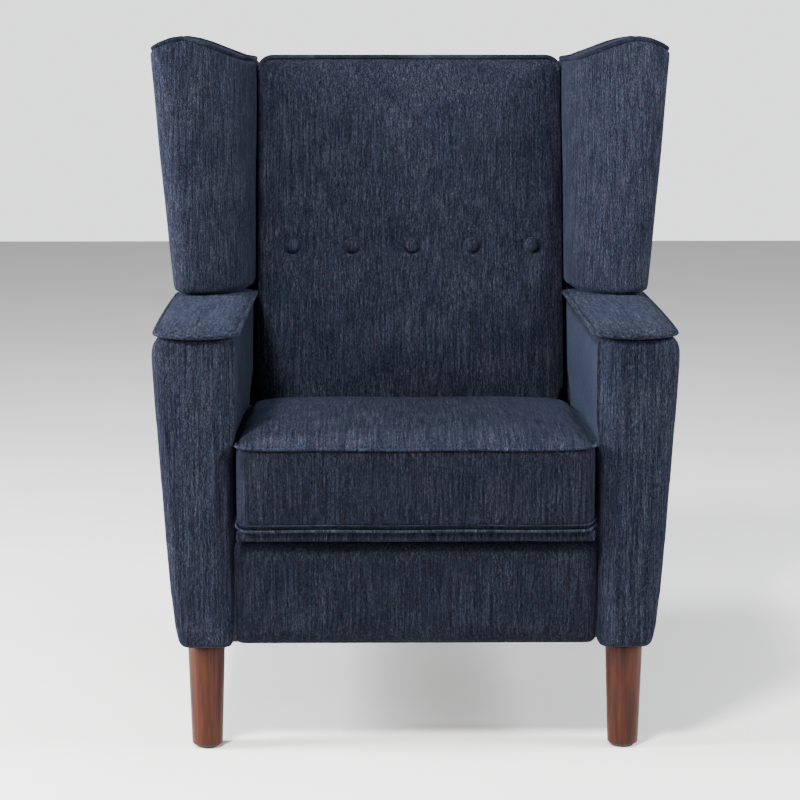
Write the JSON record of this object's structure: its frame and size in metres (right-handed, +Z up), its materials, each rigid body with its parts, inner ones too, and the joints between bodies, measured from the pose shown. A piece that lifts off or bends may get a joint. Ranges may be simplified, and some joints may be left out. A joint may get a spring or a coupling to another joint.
{
  "type": "recliner armchair",
  "caption": "Push-back wing armchair with a crowned box seat, flared winged back with a row of covered buttons, padded arms and a fold-out footrest, on round tapered legs.",
  "frame": {"origin": "centre of the chair's footprint, on the floor", "axes": "+Z up, -Y is the chair's front, +X is the right-hand arm as seen by someone facing the chair"},
  "size_m": [0.854, 0.8165, 1.05],
  "materials": {
    "upholstery": "navy chenille with fine vertical streaks",
    "button_fabric": "the same cloth, stretched over a domed button",
    "leg_wood": "stained red-brown, satin varnish",
    "frame_wood": "raw sawn hardwood and plywood",
    "mechanism_steel": "dark zinc and oil, slightly rough",
    "spring_steel": "drawn wire",
    "webbing": "black elastic webbing",
    "glide_plastic": "moulded nylon"
  },
  "bodies": {
    "root": {"arm_cover_left": "upholstery", "arm_cover_right": "upholstery", "arm_frame_left": "frame_wood", "arm_frame_right": "frame_wood", "armrest_pad_left": "upholstery", "armrest_pad_right": "upholstery", "glide_front_left": "glide_plastic", "glide_front_right": "glide_plastic", "glide_rear_left": "glide_plastic", "glide_rear_right": "glide_plastic", "leg_front_left": "leg_wood", "leg_front_right": "leg_wood", "leg_rear_left": "leg_wood", "leg_rear_right": "leg_wood", "mechanism_rail_left": "mechanism_steel", "mechanism_rail_right": "mechanism_steel", "middle_cross_rail": "frame_wood", "rear_base_panel": "upholstery", "rear_cross_rail": "frame_wood"},
    "front_swing": {"front_swing_link_left": "mechanism_steel", "front_swing_link_right": "mechanism_steel"},
    "rear_swing": {"rear_swing_link_left": "mechanism_steel", "rear_swing_link_right": "mechanism_steel", "swing_cross_tube": "mechanism_steel"},
    "seat": {"seat_plate_left": "mechanism_steel", "seat_plate_right": "mechanism_steel", "seat_side_rail_left": "frame_wood", "seat_side_rail_right": "frame_wood", "seat_front_rail": "frame_wood", "seat_rear_rail": "frame_wood", "seat_springs": "spring_steel", "seat_cushion": "upholstery", "seat_front_flap": "upholstery"},
    "back": {"back_upright_left": "frame_wood", "back_upright_right": "frame_wood", "back_top_rail": "frame_wood", "back_bottom_rail": "frame_wood", "back_webbing": "webbing", "back_cushion": "upholstery", "back_panel": "upholstery", "wing_left": "upholstery", "wing_right": "upholstery", "back_bracket_left": "mechanism_steel", "back_bracket_right": "mechanism_steel", "button_1": "button_fabric", "button_2": "button_fabric", "button_3": "button_fabric", "button_4": "button_fabric", "button_5": "button_fabric"},
    "front_link": {"footrest_front_link_left": "mechanism_steel", "footrest_front_link_right": "mechanism_steel"},
    "rear_link": {"footrest_rear_link_left": "mechanism_steel", "footrest_rear_link_right": "mechanism_steel"},
    "carrier": {"footrest_carrier_left": "mechanism_steel", "footrest_carrier_right": "mechanism_steel", "footrest_cross_tube": "mechanism_steel"},
    "footrest": {"footrest_bracket_left": "mechanism_steel", "footrest_bracket_right": "mechanism_steel", "footrest_board": "frame_wood", "footrest_pad": "upholstery"}
  },
  "joints": [
    {"name": "back_recline", "type": "hinge", "parent": "root", "child": "back", "pos_m": [0, 0.17, 0.395], "axis": [-1, 0, 0], "range_deg": [0, 32]},
    {"name": "front_swing", "type": "hinge", "parent": "root", "child": "front_swing", "pos_m": [0, -0.23, 0.205], "axis": [1, 0, 0], "range_deg": [0, 50]},
    {"name": "rear_swing", "type": "hinge", "parent": "root", "child": "rear_swing", "pos_m": [0, 0.02, 0.205], "axis": [1, 0, 0], "range_deg": [0, 50]},
    {"name": "seat_glide", "type": "hinge", "parent": "front_swing", "child": "seat", "pos_m": [0, -0.17858, 0.26628], "axis": [-1, 0, 0], "range_deg": [0, 50]},
    {"name": "footrest_front_link_swing", "type": "hinge", "parent": "seat", "child": "front_link", "pos_m": [0, -0.285, 0.278], "axis": [-1, 0, 0], "range_deg": [0, 150]},
    {"name": "footrest_rear_link_swing", "type": "hinge", "parent": "seat", "child": "rear_link", "pos_m": [0, -0.2155, 0.2695], "axis": [-1, 0, 0], "range_deg": [0, 150]},
    {"name": "footrest_carrier_swing", "type": "hinge", "parent": "front_link", "child": "carrier", "pos_m": [0, -0.11347, 0.2087], "axis": [1, 0, 0], "range_deg": [0, 150]},
    {"name": "footrest_turn", "type": "hinge", "parent": "carrier", "child": "footrest", "pos_m": [0, -0.33497, 0.29], "axis": [-1, 0, 0], "range_deg": [0, 95]}
  ],
  "couplings": [
    {"joint": "front_swing", "follows": "back_recline", "ratio": 1.5625},
    {"joint": "rear_swing", "follows": "back_recline", "ratio": 1.5625},
    {"joint": "seat_glide", "follows": "back_recline", "ratio": 1.5625},
    {"joint": "footrest_front_link_swing", "follows": "back_recline", "ratio": 4.6875},
    {"joint": "footrest_rear_link_swing", "follows": "back_recline", "ratio": 4.6875},
    {"joint": "footrest_carrier_swing", "follows": "back_recline", "ratio": 4.6875},
    {"joint": "footrest_turn", "follows": "back_recline", "ratio": 2.9688}
  ]
}
